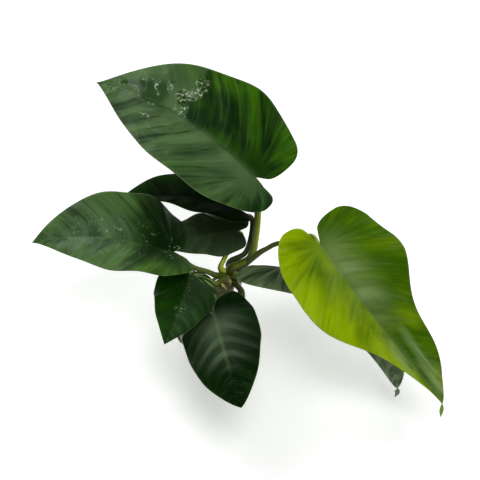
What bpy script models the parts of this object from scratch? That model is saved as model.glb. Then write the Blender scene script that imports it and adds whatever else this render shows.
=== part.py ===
"""Anubias nana grown onto a small stone, in metres, +Z up.

The origin is the middle of the stone's flat base. +Y points away from the side that is looked at.
Every leaf is one blade on one petiole. All petioles leave the crown, the growing end of a short
rhizome that creeps over the stone, and the roots grip the stone like fingers.
"""

from dataclasses import dataclass
from math import pi, radians

import bmesh
import bpy
import numpy as np

MM = 0.001
GAP = 0.3  # clearance between two neighbouring pieces, in millimetres like every size below

# Driving dimensions
STONE_HEIGHT = 22.0
STONE_HALF_WIDTH = 15.5
STONE_HALF_DEPTH = 12.5
STONE_CORE = 9.0  # height of the point that the stone's surface is measured from
STONE_CHIPS = 14  # oblique flats knocked off the block
STONE_EDGE = 9  # exponent of the soft minimum: higher gives crisper edges
RHIZOME_RADIUS = 2.7
ROOT_RADIUS = 0.5
BLADE_THICKNESS = 0.8
CROWN = np.array([5.5, 6.0, 28.0])  # the leaves are placed from here

LOBE_ROWS = 5  # rows of the blade's grid behind the petiole
BODY_ROWS = 9  # rows of the blade's grid from the petiole to the tip
ACROSS = 3  # cells from the midrib to the margin
VEIN_SLANT = 0.7  # how far forward a side vein runs for each unit that it runs outwards
LOBE_ARC = 0.10  # share of the margin that rounds the back of a lobe
SIDE_ARC = 0.40  # share of the margin that has reached the widest place


@dataclass
class Leaf:
    """One leaf. Pairs are (left, right), seen from above with the tip pointing away.

    Lengths are millimetres, angles degrees, and lobe and widest are shares of the length.
    """

    at: tuple  # where the petiole meets the blade, from the crown
    aim: tuple  # heading of the midrib, its climb, and the blade's roll about it
    length: float
    half: tuple
    bend: tuple  # droop towards the tip, turn to the left, and twist
    cup: tuple  # how steeply each half rises from the midrib
    curl: float  # how much of that rise is lost again at the margin
    lobe: tuple
    lobe_drop: float
    taper: tuple
    shoulder: tuple
    widest: tuple
    wave: tuple  # height of the margin's ruffle, its scallop, and waves along the length
    phase: tuple
    stalk: tuple  # petiole radius at the crown and at the blade
    route: tuple  # points that the petiole passes, from the crown
    colour: tuple
    hook: tuple = (5, 2.4)  # how far behind and below the notch the petiole turns up to it


LEAVES = {
    "top": Leaf(
        at=(9, 15.8, 34), aim=(143, 26, 10), length=69, half=(25.2, 27.8),
        bend=(46, 0, -32), cup=(17, 8), curl=10.5, lobe=(0.19, 0.098), lobe_drop=-29,
        taper=(1.17, 1.52), shoulder=(2.1, 2.3), widest=(0.165, 0.13),
        wave=(1.1, 0.01, 2.5), phase=(0.45, 0.59), stalk=(1.6, 0.9),
        route=((1.6, 2.2, 1.4), (7.7, 3.6, 5), (9.6, 8.2, 11.5), (10.4, 12.8, 19), (10.2, 15, 26.5)),
        colour=(0.03, 0.13, 0.012),
    ),
    "left": Leaf(
        at=(-19, -2.2, 15.5), aim=(178, 22.5, 8), length=49, half=(15.8, 22),
        bend=(43, -3, -34), cup=(17, 6), curl=10.5, lobe=(0.135, 0.105), lobe_drop=0,
        taper=(1.3, 1.1), shoulder=(2.05, 1.9), widest=(0.215, 0.195),
        wave=(1.0, 0, 2.5), phase=(-0.38, 0.81), stalk=(1.1, 0.8),
        route=((-3.9, -0.3, 0.2), (-6.8, -1.2, 3.2), (-11.5, -2.0, 6.6)),
        colour=(0.035, 0.11, 0.03),
    ),
    "back": Leaf(
        at=(0, 20.5, 13.5), aim=(165, 8, 12), length=42, half=(10.5, 14),
        bend=(42, 6, 2), cup=(19, 17), curl=20, lobe=(0.22, 0.22), lobe_drop=6,
        taper=(1.15, 0.93), shoulder=(1.45, 1.95), widest=(0.14, 0.18),
        wave=(0.7, 0, 2.5), phase=(0, 0.5), stalk=(1.1, 0.8),
        route=((0.7, 5.2, 1.0), (6.0, 6.2, 4.7), (8.2, 10.6, 9.4), (8.2, 16.4, 11.6)),
        colour=(0.012, 0.05, 0.01),
    ),
    "middle": Leaf(
        at=(3, 12.8, 8.3), aim=(192, 3, 0), length=30, half=(9.3, 10.8),
        bend=(24, 0, -7), cup=(11, 11), curl=29, lobe=(0.08, 0.18), lobe_drop=10,
        taper=(1.6, 0.42), shoulder=(2.05, 2.6), widest=(0.134, 0.156),
        wave=(0.9, 0.01, 2.5), phase=(0.12, 0.27), stalk=(1.05, 0.75),
        route=((-2.6, 2.2, 0.9), (-1.6, 4.2, 3), (0.6, 7.4, 5.2)), hook=(1.6, 3.4),
        colour=(0.012, 0.05, 0.014),
    ),
    "lower_left": Leaf(
        at=(-12.8, -6.3, 8), aim=(-98, 14, -10), length=33, half=(11.1, 11.3),
        bend=(24, -9, -1), cup=(1, -2), curl=29, lobe=(0.125, 0.075), lobe_drop=20,
        taper=(1.0, 1.0), shoulder=(1.9, 1.9), widest=(0.18, 0.155),
        wave=(1.5, 0, 2.5), phase=(-0.16, 0.05), stalk=(1.05, 0.75),
        route=((-4.1, -3.6, -0.4), (-7, -3.4, 1.6), (-10.6, -3.2, 3.8)),
        colour=(0.014, 0.055, 0.016),
    ),
    "front": Leaf(
        at=(-4.6, -21.7, 6), aim=(-78, 5, 13), length=37, half=(13.9, 13.8),
        bend=(28.5, 0, -5), cup=(9, -7), curl=23.5, lobe=(0.21, 0.03), lobe_drop=15,
        taper=(0.8, 0.85), shoulder=(1.8, 2.4), widest=(0.225, 0.125),
        wave=(1.5, 0, 2.5), phase=(-0.07, -0.02), stalk=(1.1, 0.75),
        route=((3.4, -4.4, -0.6), (5, -8.6, 0.8), (3.8, -14, 1.4)),
        colour=(0.012, 0.045, 0.014),
    ),
    "right": Leaf(
        at=(31.4, -6.8, 24), aim=(-50, -27, 8.5), length=67.5, half=(21.3, 21.2),
        bend=(16, 9, 14.5), cup=(40, 30), curl=25, lobe=(0.13, 0.165), lobe_drop=-14,
        taper=(0.7, 1.95), shoulder=(1.2, 1.45), widest=(0.17, 0.19),
        wave=(1.7, 0.09, 1.85), phase=(0.79, 0.54), stalk=(1.0, 0.75),
        route=((10.5, 2.9, 8.2), (13.2, 2.4, 11.4), (17.2, 1.2, 15.8), (23.4, -2.2, 20.2)),
        colour=(0.19, 0.33, 0.01),
    ),
    "under": Leaf(
        at=(18.6, -4.7, 10), aim=(-8, -14, -7.5), length=60.5, half=(11, 13.3),
        bend=(42, -56, -1), cup=(15, 12.5), curl=16, lobe=(0.02, 0.25), lobe_drop=30,
        taper=(0.6, 0.7), shoulder=(1.95, 1.9), widest=(0.2, 0.165),
        wave=(1.6, 0, 1.2), phase=(0.03, 0), stalk=(0.95, 0.55),
        route=((2.8, -1.5, 0.9), (6, 0.1, 2.8), (9, -0.6, 5.2), (12.4, -3.0, 5.7)),
        colour=(0.04, 0.085, 0.035),
    ),
}

RHIZOME_ROUTE = ((-7.5, -18.5, -3.2), (-4.5, -11.5, -3), (-1, -4.5, -3), (0.6, 1.5, -3), (1.2, 5, -2.2))
SCALE_ROUTES = (
    ((0.4, -2.9, 0.4), (1.0, -4.2, 1.2), (0.6, -5.8, 1.0)),
    ((-1.9, -4.9, 0.6), (-1.3, -6.1, 1.4), (-0.4, -7.5, 1.2)),
)

# Each root leaves the rhizome at a share of its length, on its left (-1) or right (+1), and
# ends low on the stone at a heading that is seen from above.
ROOTS = (
    (0.12, -1, 238), (0.22, 1, 292), (0.42, -1, 196), (0.5, 1, 330),
    (0.72, -1, 150), (0.8, 1, 355), (0.92, 1, 62),
)


def clear_scene():
    for thing in list(bpy.data.objects):
        bpy.data.objects.remove(thing, do_unlink=True)


def material(name, colour, roughness):
    made = bpy.data.materials.new(name)
    made.use_nodes = True
    shader = made.node_tree.nodes["Principled BSDF"]
    shader.inputs["Base Color"].default_value = (*colour, 1)
    shader.inputs["Roughness"].default_value = roughness
    shader.inputs["Metallic"].default_value = 0
    return made


def unit(vectors):
    return vectors / np.linalg.norm(vectors, axis=-1, keepdims=True)


def smooth_path(points, count):
    """A Catmull-Rom curve through the points, read at even steps."""
    points = np.array(points, float)
    ends = np.vstack([2 * points[0] - points[1], points, 2 * points[-1] - points[-2]])
    step = np.linspace(0, len(points) - 1, count)
    first = np.minimum(step.astype(int), len(points) - 2)
    t = (step - first)[:, None]
    a, b, c, d = (ends[first + k] for k in range(4))
    return 0.5 * (2 * b + (c - a) * t + (2 * a - 5 * b + 4 * c - d) * t**2 + (3 * b - a - 3 * c + d) * t**3)


def stalk(name, path, radii, finish, sides=8):
    """A round tapering stalk: a curve with a bevel, whose points each carry their own radius."""
    curve = bpy.data.curves.new(name, "CURVE")
    curve.dimensions = "3D"
    curve.bevel_depth = MM
    curve.bevel_resolution = (sides - 4) // 2
    curve.use_fill_caps = True
    spline = curve.splines.new("POLY")
    spline.points.add(len(path) - 1)
    for point, place, radius in zip(spline.points, path * MM, radii):
        point.co = (*place, 1)
        point.radius = radius
    made = bpy.data.objects.new(name, curve)
    made.data.materials.append(finish)
    bpy.context.collection.objects.link(made)
    return made


def leaf_axes(leaf):
    """Midrib direction, left-hand direction and upper normal where the petiole joins."""
    heading, climb, roll = np.radians(leaf.aim)
    along = np.array([np.cos(climb) * np.cos(heading), np.cos(climb) * np.sin(heading), np.sin(climb)])
    level = np.array([-np.sin(heading), np.cos(heading), 0])
    above = np.cross(along, level)
    left = np.cos(roll) * level + np.sin(roll) * above
    return along, left, np.cross(along, left)


def midrib(leaf, share):
    """Place, left and normal of the bent midrib at shares of its length; below 0 is between the lobes.

    The midrib bows down by droop times share to the power 1.4, turns left and twists in
    proportion to the share, and its place is the running sum of its direction.
    """
    along, left, normal = leaf_axes(leaf)
    grid = np.linspace(-0.5, 1, 301)
    ahead = np.clip(grid, 0, None)
    droop, turn, twist = np.radians(leaf.bend)
    back = radians(leaf.lobe_drop) * grid / max(leaf.lobe)
    bow = np.where(grid >= 0, droop * ahead**1.4, back)[:, None]
    turned = (turn * ahead)[:, None]
    twisted = (twist * ahead)[:, None]
    forward = np.cos(bow) * (np.cos(turned) * along + np.sin(turned) * left) - np.sin(bow) * normal
    side = np.cos(turned) * left - np.sin(turned) * along
    up = np.cross(forward, side)
    side, up = np.cos(twisted) * side + np.sin(twisted) * up, np.cos(twisted) * up - np.sin(twisted) * side
    steps = (forward[1:] + forward[:-1]) / 2 * np.diff(grid)[:, None] * leaf.length
    place = np.vstack([np.zeros(3), np.cumsum(steps, 0)])

    def read(values):
        return np.stack([np.interp(share, grid, values[:, k]) for k in range(3)], -1)

    start = np.array([np.interp(0, grid, place[:, k]) for k in range(3)])
    return CROWN + np.array(leaf.at) + read(place) - start, read(side), read(up)


def margin(leaf, s, hand):
    """The flat outline of one half, in shares of the length: s runs from the notch (0) to the tip (1).

    Two quarter ellipses round the lobe and reach the widest place, then the half width falls
    as (1 - q ** shoulder) ** taper to the tip.
    """
    half, lobe, widest = leaf.half[hand] / leaf.length, leaf.lobe[hand], leaf.widest[hand]
    notch, lobe_side, inner = 0.10 * half, 0.52 * half, 0.45 * lobe
    turn = np.clip(s / LOBE_ARC, 0, 1) * pi / 2
    sweep = pi / 2 * (1 - np.clip((s - LOBE_ARC) / (SIDE_ARC - LOBE_ARC), 0, 1))
    q = np.clip((s - SIDE_ARC) / (1 - SIDE_ARC), 0, 1)
    front = half * (1 - q ** leaf.shoulder[hand]) ** leaf.taper[hand]
    x = np.where(s < SIDE_ARC, widest - (widest + lobe) * np.sin(sweep), widest + (1 - widest) * q)
    x = np.where(s < LOBE_ARC, -lobe + inner * (1 - np.sin(turn)), x)
    y = np.where(s < SIDE_ARC, lobe_side + (half - lobe_side) * np.cos(sweep), front)
    y = np.where(s < LOBE_ARC, notch + (lobe_side - notch) * (1 - np.cos(turn)), y)
    return x, y


def vein_rows(leaf, hand, lobe_rows, body_rows):
    """The margin shares where the side veins end, and where each leaves the midrib.

    Every vein of the lobe leaves from the notch. Further on a vein slants forward, so the one
    that ends at (x, y) leaves the midrib at x - slant * y.
    """
    s = np.linspace(0, 1, 600)
    x, y = margin(leaf, s, hand)
    root = x - VEIN_SLANT * y
    behind = s[root < 0][-1]
    ahead = s > behind
    body_start = np.sin(np.linspace(0, pi / 2, body_rows + 1)) ** 1.1
    body_part = np.interp(body_start, np.maximum.accumulate(root[ahead]), s[ahead])
    lobe_part = np.linspace(0, behind, lobe_rows, endpoint=False)
    return np.concatenate([lobe_part, body_part]), np.concatenate([np.zeros(lobe_rows), body_start])


def half_blade(leaf, hand, lobe_rows, body_rows, across):
    """The middle surface of one half and its normal, on a grid of side veins by share to the margin."""
    s, start = vein_rows(leaf, hand, lobe_rows, body_rows)
    t = np.linspace(0, 1, across + 1)[None, :]
    edge_x, edge_y = margin(leaf, s, hand)
    ease = 1 + 0.5 * np.clip((s - 0.3) / 0.3, 0, 1)[:, None]
    x = start[:, None] + (edge_x - start)[:, None] * t**ease
    y = edge_y[:, None] * t
    ruffle, scallop, waves = leaf.wave
    wave = np.sin(2 * pi * (waves * x + leaf.phase[hand]))
    y = y * (1 + scallop * wave * np.clip(4 * x, 0, 1) * np.clip(6 * (1 - x), 0, 1))
    share = y * leaf.length / leaf.half[hand]
    cup, curl = radians(leaf.cup[hand]), radians(leaf.curl)
    out = (np.sin(cup) - np.sin(cup - curl * share)) / curl * leaf.half[hand]
    rise = (np.cos(cup - curl * share) - np.cos(cup)) / curl * leaf.half[hand]
    rise = rise + ruffle * share**2 * wave
    place, left, up = midrib(leaf, x)
    sign = 1 if hand == 0 else -1
    return place + sign * out[..., None] * left + rise[..., None] * up, up


def blade(name, leaf, finish):
    """A closed shell, thickest along the midrib, whose two faces meet at margin, notch and tip.

    Both faces split their cells along the same diagonal, so they can't cross near the margin.
    """
    lens = np.ones((LOBE_ROWS + BODY_ROWS + 1, 1)) * (1 - np.linspace(0, 1, ACROSS + 1) ** 2)
    lens[[0, -1]] = 0
    lens = lens[..., None] * BLADE_THICKNESS / 2
    shell = bmesh.new()
    for hand in (0, 1):
        middle, up = half_blade(leaf, hand, LOBE_ROWS, BODY_ROWS, ACROSS)
        for face in (1, -1):
            rows = [[shell.verts.new(place * MM) for place in row] for row in middle + face * lens * up]
            for near, far in zip(rows, rows[1:]):
                for k in range(ACROSS):
                    turned = (hand == 0) == (face == 1)
                    for ring in ((near[k], near[k + 1], far[k]), (near[k + 1], far[k + 1], far[k])):
                        shell.faces.new(ring[::-1] if turned else ring)
    bmesh.ops.remove_doubles(shell, verts=shell.verts, dist=1e-6)
    mesh = bpy.data.meshes.new(name)
    shell.to_mesh(mesh)
    shell.free()
    mesh.shade_smooth()
    mesh.materials.append(finish)
    made = bpy.data.objects.new(name, mesh)
    bpy.context.collection.objects.link(made)
    return made


def stone_planes():
    """Outward directions and distances of the flats that bound the stone."""
    main = np.array(
        [(1, 0, 0), (-1, 0, 0), (0, 1, 0), (0, -1, 0), (0, 0, 1), (0, 0, -1), (-0.75, -0.66, 0)]
    )
    reach = np.array(
        [STONE_HALF_WIDTH, STONE_HALF_WIDTH, STONE_HALF_DEPTH, STONE_HALF_DEPTH,
         STONE_HEIGHT - STONE_CORE, STONE_CORE + 3, STONE_HALF_DEPTH]
    )
    turn = np.arange(STONE_CHIPS) * pi * (3 - 5**0.5)
    height = np.linspace(0.85, -0.55, STONE_CHIPS)
    flat = np.sqrt(1 - height**2)
    chips = np.stack([flat * np.cos(turn), flat * np.sin(turn), height], -1)
    size = np.array([STONE_HALF_WIDTH, STONE_HALF_DEPTH, STONE_HEIGHT - STONE_CORE])
    depth = np.random.default_rng(4).uniform(0.93, 1.12, STONE_CHIPS)
    return np.vstack([main, chips]), np.concatenate([reach, depth * np.linalg.norm(chips * size, axis=1)])


def stone_reach(directions):
    """How far the surface is from the core: a soft minimum of the distances to all the flats."""
    normals, distances = stone_planes()
    lean = np.clip(directions @ normals.T / distances, 0, None)
    return (lean**STONE_EDGE).sum(-1) ** (-1 / STONE_EDGE)


def stone(finish):
    shell = bmesh.new()
    bmesh.ops.create_icosphere(shell, subdivisions=4, radius=1)
    directions = unit(np.array([vert.co[:] for vert in shell.verts]))
    places = directions * stone_reach(directions)[:, None] + (0, 0, STONE_CORE)
    for vert, place in zip(shell.verts, places * MM):
        vert.co = place
    geometry = [*shell.verts, *shell.edges, *shell.faces]
    cut = bmesh.ops.bisect_plane(
        shell, geom=geometry, dist=1e-6, plane_co=(0, 0, 0), plane_no=(0, 0, -1), clear_outer=True
    )
    rim = [item for item in cut["geom_cut"] if isinstance(item, bmesh.types.BMEdge)]
    bmesh.ops.contextual_create(shell, geom=rim)
    bmesh.ops.recalc_face_normals(shell, faces=shell.faces)
    mesh = bpy.data.meshes.new("stone")
    shell.to_mesh(mesh)
    shell.free()
    mesh.shade_smooth()
    mesh.set_sharp_from_angle(angle=radians(35))
    mesh.materials.append(finish)
    made = bpy.data.objects.new("stone", mesh)
    bpy.context.collection.objects.link(made)
    return made


def rhizome(finish):
    path = smooth_path(RHIZOME_ROUTE, 12) + CROWN
    swell = 1 - 0.22 * np.linspace(0, 1, len(path)) ** 3
    return stalk("rhizome", path, RHIZOME_RADIUS * swell, finish, sides=12)


def petiole(name, leaf, finish):
    """The stalk passes its route, then comes up from below and ends a gap short of the notch."""
    along, _, up = leaf_axes(leaf)
    at = np.array(leaf.at)
    base, end = leaf.stalk
    under = at - leaf.hook[0] * along - leaf.hook[1] * up
    join = at - (end + 2 * GAP) * along - (BLADE_THICKNESS / 2 + 2 * GAP) * up
    path = smooth_path([*leaf.route, under, join], 13) + CROWN
    radii = end + (base - end) * (1 - np.linspace(0, 1, len(path))) ** 1.3
    return stalk(name, path, radii, finish)


def root(name, share, side, heading, finish):
    """A root leaves the rhizome's flank, then hugs the stone down to a little above its base."""
    axis = smooth_path(RHIZOME_ROUTE, 101) + CROWN
    step = int(share * 100)
    ahead = unit(axis[min(step + 1, 100)] - axis[step - 1])
    outward = unit(np.cross(ahead, (0, 0, 1))) * side
    start = axis[step] + outward * (RHIZOME_RADIUS + ROOT_RADIUS + GAP)
    core = np.array([0, 0, STONE_CORE])
    entry = unit(start - core)
    slope = np.radians([28, 8, -14, -30])
    turn = radians(heading) + 0.16 * np.sin(np.arange(4) * 2.1 + share * 20)
    low = np.stack([np.cos(slope) * np.cos(turn), np.cos(slope) * np.sin(turn), np.sin(slope)], -1)
    directions = unit(smooth_path([entry, *low], 16)[1:])
    lift = ROOT_RADIUS + 3 * GAP
    hug = core + directions * (stone_reach(directions) + lift)[:, None]
    path = np.vstack([start, hug[hug[:, 2] > lift]])
    return stalk(name, path, np.linspace(1, 0.7, len(path)) * ROOT_RADIUS, finish, sides=6)


def build():
    clear_scene()
    stone(material("stone", (0.36, 0.35, 0.33), 0.85))
    rhizome(material("rhizome", (0.07, 0.08, 0.03), 0.6))
    for name, leaf in LEAVES.items():
        blade(f"blade_{name}", leaf, material(f"blade_{name}", leaf.colour, 0.3))
        petiole(f"petiole_{name}", leaf, material(f"petiole_{name}", (0.14, 0.2, 0.04), 0.4))
    for count, (share, side, heading) in enumerate(ROOTS, 1):
        root(f"root_{count}", share, side, heading, material(f"root_{count}", (0.3, 0.25, 0.13), 0.7))
    for count, route in enumerate(SCALE_ROUTES, 1):
        path = smooth_path(route, 6) + CROWN
        radii = np.linspace(0.75, 0.15, 6)
        stalk(f"dry_scale_{count}", path, radii, material(f"dry_scale_{count}", (0.4, 0.33, 0.16), 0.8), sides=6)


build()
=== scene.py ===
# %% [markdown]
# # Anubias nana on a small stone
#
# Anubias nana is a slow plant of shaded streams. Thick glossy leaves stand on stalks, called petioles,
# and every petiole leaves the crown of a creeping stem, the rhizome, whose roots hold a stone.
# The imported model fixes where each piece is. This lesson builds the finer pieces that stand for it.

# %% Load the frame and bake its placements into the meshes
from dataclasses import dataclass
from math import pi, radians
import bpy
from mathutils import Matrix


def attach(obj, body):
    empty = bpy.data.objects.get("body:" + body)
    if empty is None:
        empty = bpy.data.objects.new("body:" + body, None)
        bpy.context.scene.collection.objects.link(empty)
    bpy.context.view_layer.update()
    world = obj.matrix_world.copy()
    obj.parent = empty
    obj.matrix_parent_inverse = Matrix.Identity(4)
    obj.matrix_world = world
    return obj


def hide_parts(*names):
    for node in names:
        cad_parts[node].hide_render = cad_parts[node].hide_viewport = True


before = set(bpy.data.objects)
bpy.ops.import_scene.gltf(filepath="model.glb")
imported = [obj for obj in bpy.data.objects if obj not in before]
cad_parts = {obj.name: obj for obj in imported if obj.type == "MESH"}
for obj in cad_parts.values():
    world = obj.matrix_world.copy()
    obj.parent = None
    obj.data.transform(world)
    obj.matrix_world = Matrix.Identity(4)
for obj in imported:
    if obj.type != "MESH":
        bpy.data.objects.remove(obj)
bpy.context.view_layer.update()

from types import SimpleNamespace

import bmesh
import bpy
import numpy as np

MM = 0.001
CROWN = np.array([5.5, 6.0, 28.0])  # every leaf is placed from here, in millimetres

# %% [markdown]
# ## Camera
#
# A low rosette is best seen from above, so the camera looks down at 50 degrees from the front.
# A long lens from half a metre keeps the near leaves from looking too large.

# %% Camera
DISTANCE = 550 * MM
VIEW_WIDTH = 168 * MM
SENSOR = 36.0
LOOK_DOWN = radians(50)

target = (CROWN + (4.2, 9.4, 7.9)) * MM
eye = target + DISTANCE * np.array([0, -np.cos(LOOK_DOWN), np.sin(LOOK_DOWN)])
camera = bpy.data.objects.new("camera", bpy.data.cameras.new("camera"))
camera.data.sensor_width = SENSOR
camera.data.lens = SENSOR * DISTANCE / VIEW_WIDTH
camera.data.clip_start = 0.01
camera.location = eye
camera.rotation_euler = (pi / 2 - LOOK_DOWN, 0, 0)
bpy.context.scene.collection.objects.link(camera)
bpy.context.scene.camera = camera
print("lens", round(camera.data.lens, 1), "mm")

# %% [markdown]
# ## Shader maths as Python
#
# A node graph is easier to read as a formula. One class wraps a socket, so that `1 - mask * 0.5` adds
# the Math nodes it needs. Every other node comes from the method `node`.


# %% The socket class
GRID_MAP = "across_along"


class Wire:
    """A shader value. Arithmetic on it adds Math nodes to the tree that it belongs to."""

    def __init__(self, tree, socket=None):
        self.tree, self.socket = tree, socket

    def node(self, kind, settings=None, inputs=(), out=0):
        """Add a node: first its settings, then the values or links of its sockets, by name or in order."""
        made = self.tree.nodes.new("ShaderNode" + kind)
        for name, value in (settings or {}).items():
            setattr(made, name, value)
        shown = [socket for socket in made.inputs if socket.enabled]
        named = inputs.items() if isinstance(inputs, dict) else enumerate(inputs)
        for key, value in named:
            socket = shown[key] if isinstance(key, int) else next(s for s in shown if s.name == key)
            if isinstance(value, Wire):
                self.tree.links.new(value.socket, socket)
            else:
                socket.default_value = value
        given = [socket for socket in made.outputs if socket.enabled]
        return Wire(self.tree, given[out] if isinstance(out, int) else made.outputs[out])

    def math(self, operation, *values):
        return self.node("Math", {"operation": operation}, values)

    def __add__(self, other):
        return self.math("ADD", self, other)

    def __sub__(self, other):
        return self.math("SUBTRACT", self, other)

    def __rsub__(self, other):
        return self.math("SUBTRACT", other, self)

    def __mul__(self, other):
        return self.math("MULTIPLY", self, other)

    __radd__ = __add__
    __rmul__ = __mul__


def absolute(value):
    return value.math("ABSOLUTE", value)


def cosine(value):
    return value.math("COSINE", value)


def smooth(value, low, high):
    """0 below low, 1 above high, an S curve between them; low may be the larger of the two."""
    ends = {"Value": value, "From Min": low, "From Max": high}
    return value.node("MapRange", {"interpolation_type": "SMOOTHSTEP"}, ends)


def blend(factor, first, second):
    """Colour first where factor is 0, second where it is 1."""
    return factor.node("Mix", {"data_type": "RGBA"}, {"Factor": factor, "A": first, "B": second})


def noise(place, scale, detail=3.0, rough=0.5, warp=0.0):
    """Cloudy noise from 0 to 1, mostly near 0.5."""
    sockets = {"Vector": place, "Scale": scale, "Detail": detail, "Roughness": rough, "Distortion": warp}
    return place.node("TexNoise", {}, sockets)


def joined(x, y, z):
    """Three numbers as one vector."""
    return next(a for a in (x, y, z) if isinstance(a, Wire)).node("CombineXYZ", {}, (x, y, z))


def part_of(vector, axis):
    """One number of a vector: axis 0, 1 or 2."""
    return vector.node("SeparateXYZ", {}, [vector], out=axis)


def paint(red, green, blue):
    """A paint-chart colour, 0 to 255 in each channel, as the linear colour that a shader needs."""
    return (*[(channel / 255) ** 2.2 for channel in (red, green, blue)], 1.0)


def finish(name, constants):
    """A new material: its starting wire and a function that fills the shader's varying sockets."""
    made = bpy.data.materials.new(name)
    made.use_nodes = True
    shader = made.node_tree.nodes["Principled BSDF"]
    for key, value in constants.items():
        shader.inputs[key].default_value = value

    def fill(colour, roughness, height=None, relief=0.2 * MM, coat=None):
        wires = {"Base Color": colour, "Roughness": roughness, "Coat Weight": coat}
        if height is not None:
            wires["Normal"] = height.node("Bump", {}, {"Height": height, "Distance": relief, "Strength": 1.0})
        for key, value in wires.items():
            if isinstance(value, Wire):
                made.node_tree.links.new(value.socket, shader.inputs[key])
            elif value is not None:
                shader.inputs[key].default_value = value
        return made

    return Wire(made.node_tree), fill


def object_place(start):
    return start.node("TexCoord", out="Object")


def grid_numbers(start):
    """A grid's own two texture numbers: across or round the piece, and along it."""
    mark = start.node("UVMap", {"uv_map": GRID_MAP})
    return part_of(mark, 0), part_of(mark, 1)


def attribute(start, name):
    return start.node("Attribute", {"attribute_name": name}, out="Fac")


print("shader helpers:", ", ".join(f.__name__ for f in (smooth, blend, noise, joined, paint)))


# %% [markdown]
# ## Surfaces from grids
#
# Every new piece is a grid of points worked out as whole arrays. Rows that end in one point, seams
# and thin edges are closed by merging points that share a place, so each mesh is one sealed skin.


# %% Mesh helpers
SAME_PLACE = 0.0002 * MM  # points nearer than this are one point


def unit(vectors):
    return vectors / np.linalg.norm(vectors, axis=-1, keepdims=True)


def skin(name, sheets, finishes, node):
    """Join grids into one sealed mesh that stands for a CAD solid.

    Each sheet is (points in mm, two texture numbers for each point, named values for each point,
    whether its faces are turned round, which finish it takes).
    """
    points, marks, values, faces, kinds, first = [], [], {}, [], [], 0
    for place, mark, extra, turned, kind in sheets:
        rows, columns = place.shape[:2]
        index = first + np.arange(rows * columns).reshape(rows, columns)
        quads = np.stack([index[:-1, :-1], index[:-1, 1:], index[1:, 1:], index[1:, :-1]], -1).reshape(-1, 4)
        faces.append(quads[:, ::-1] if turned else quads)
        kinds.append(np.full(len(quads), kind))
        points.append(place.reshape(-1, 3))
        marks.append(mark.reshape(-1, 2))
        for key, value in extra.items():
            values.setdefault(key, []).append(value.reshape(-1))
        first += rows * columns
    points, marks, faces = np.vstack(points) * MM, np.vstack(marks), np.vstack(faces)
    mesh = bpy.data.meshes.new(name)
    mesh.from_pydata(points, [], faces)
    mesh.polygons.foreach_set("material_index", np.concatenate(kinds))
    layer = mesh.uv_layers.new(name=GRID_MAP)
    layer.uv.foreach_set("vector", marks[faces.reshape(-1)].astype(np.float32).reshape(-1))
    for key, value in values.items():
        store = mesh.attributes.new(key, "FLOAT", "POINT")
        store.data.foreach_set("value", np.concatenate(value).astype(np.float32))
    work = bmesh.new()
    work.from_mesh(mesh)
    bmesh.ops.remove_doubles(work, verts=work.verts, dist=SAME_PLACE)
    loose = [vert for vert in work.verts if not vert.link_faces]
    bmesh.ops.delete(work, geom=loose, context="VERTS")
    open_edges = sum(not edge.is_manifold for edge in work.edges)
    work.to_mesh(mesh)
    work.free()
    mesh.shade_smooth()
    for item in finishes:
        mesh.materials.append(item)
    made = bpy.data.objects.new(name, mesh)
    bpy.context.scene.collection.objects.link(made)
    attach(made, "root")
    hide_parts(node)
    print(f"{name}: {len(mesh.polygons)} faces, {open_edges} open edges")
    return made


def smooth_path(points, count):
    """A Catmull-Rom curve through the points, read at even steps."""
    points = np.array(points, float)
    ends = np.vstack([2 * points[0] - points[1], points, 2 * points[-1] - points[-2]])
    step = np.linspace(0, len(points) - 1, count)
    first = np.minimum(step.astype(int), len(points) - 2)
    t = (step - first)[:, None]
    a, b, c, d = (ends[first + k] for k in range(4))
    return 0.5 * (2 * b + (c - a) * t + (2 * a - 5 * b + 4 * c - d) * t**2 + (3 * b - a - 3 * c + d) * t**3)


def tube(path, radius, sides=24, flat=1.0, kind=0):
    """A round skin carried along a path: path + radius * (cos angle * side + flat * sin angle * over).

    The side vector is square to the path and to the direction in which the path varies least.
    The first and last rings shrink to points, which closes the ends.
    """
    ahead = unit(np.gradient(path, axis=0))
    least = np.linalg.svd(ahead - ahead.mean(0))[2][-1]
    least = least if abs(ahead @ least).max() < 0.95 else np.array([0.0, 0.0, 1.0])
    side = unit(np.cross(ahead, least))
    over = np.cross(side, ahead)
    angle = np.linspace(0, 2 * pi, sides + 1)
    radius = np.broadcast_to(radius.reshape(len(path), -1), (len(path), sides + 1)).copy()
    radius[[0, -1]] = 0
    wheel = np.cos(angle)[:, None] * side[:, None] + flat * np.sin(angle)[:, None] * over[:, None]
    place = path[:, None] + radius[..., None] * wheel
    place[:, -1] = place[:, 0]
    share = np.linspace(0, 1, len(path))
    mark = np.stack(np.meshgrid(angle / (2 * pi), share), -1)
    return place, mark, {}, False, kind


# %% [markdown]
# ## The leaves' shape
#
# A blade could be a flat card with an outline cut out, but then it has no thickness and no gloss.
# Here one formula gives the whole blade: an outline, a midrib that droops, turns and twists, a cupped
# section, and side veins that are the grid's own rows, so relief and colour follow them for free.

# %% One record per leaf
LOBE_VEINS = 5  # side veins of the lobe behind the petiole
BODY_VEINS = 9
VEINS = LOBE_VEINS + BODY_VEINS
VEIN_SLANT = 0.7  # how far a side vein runs towards the tip for each step outwards
LOBE_ARC = 0.10  # share of the outline where the arc round the lobe ends
SIDE_ARC = 0.40  # share of the outline where the arc of the side ends


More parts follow.
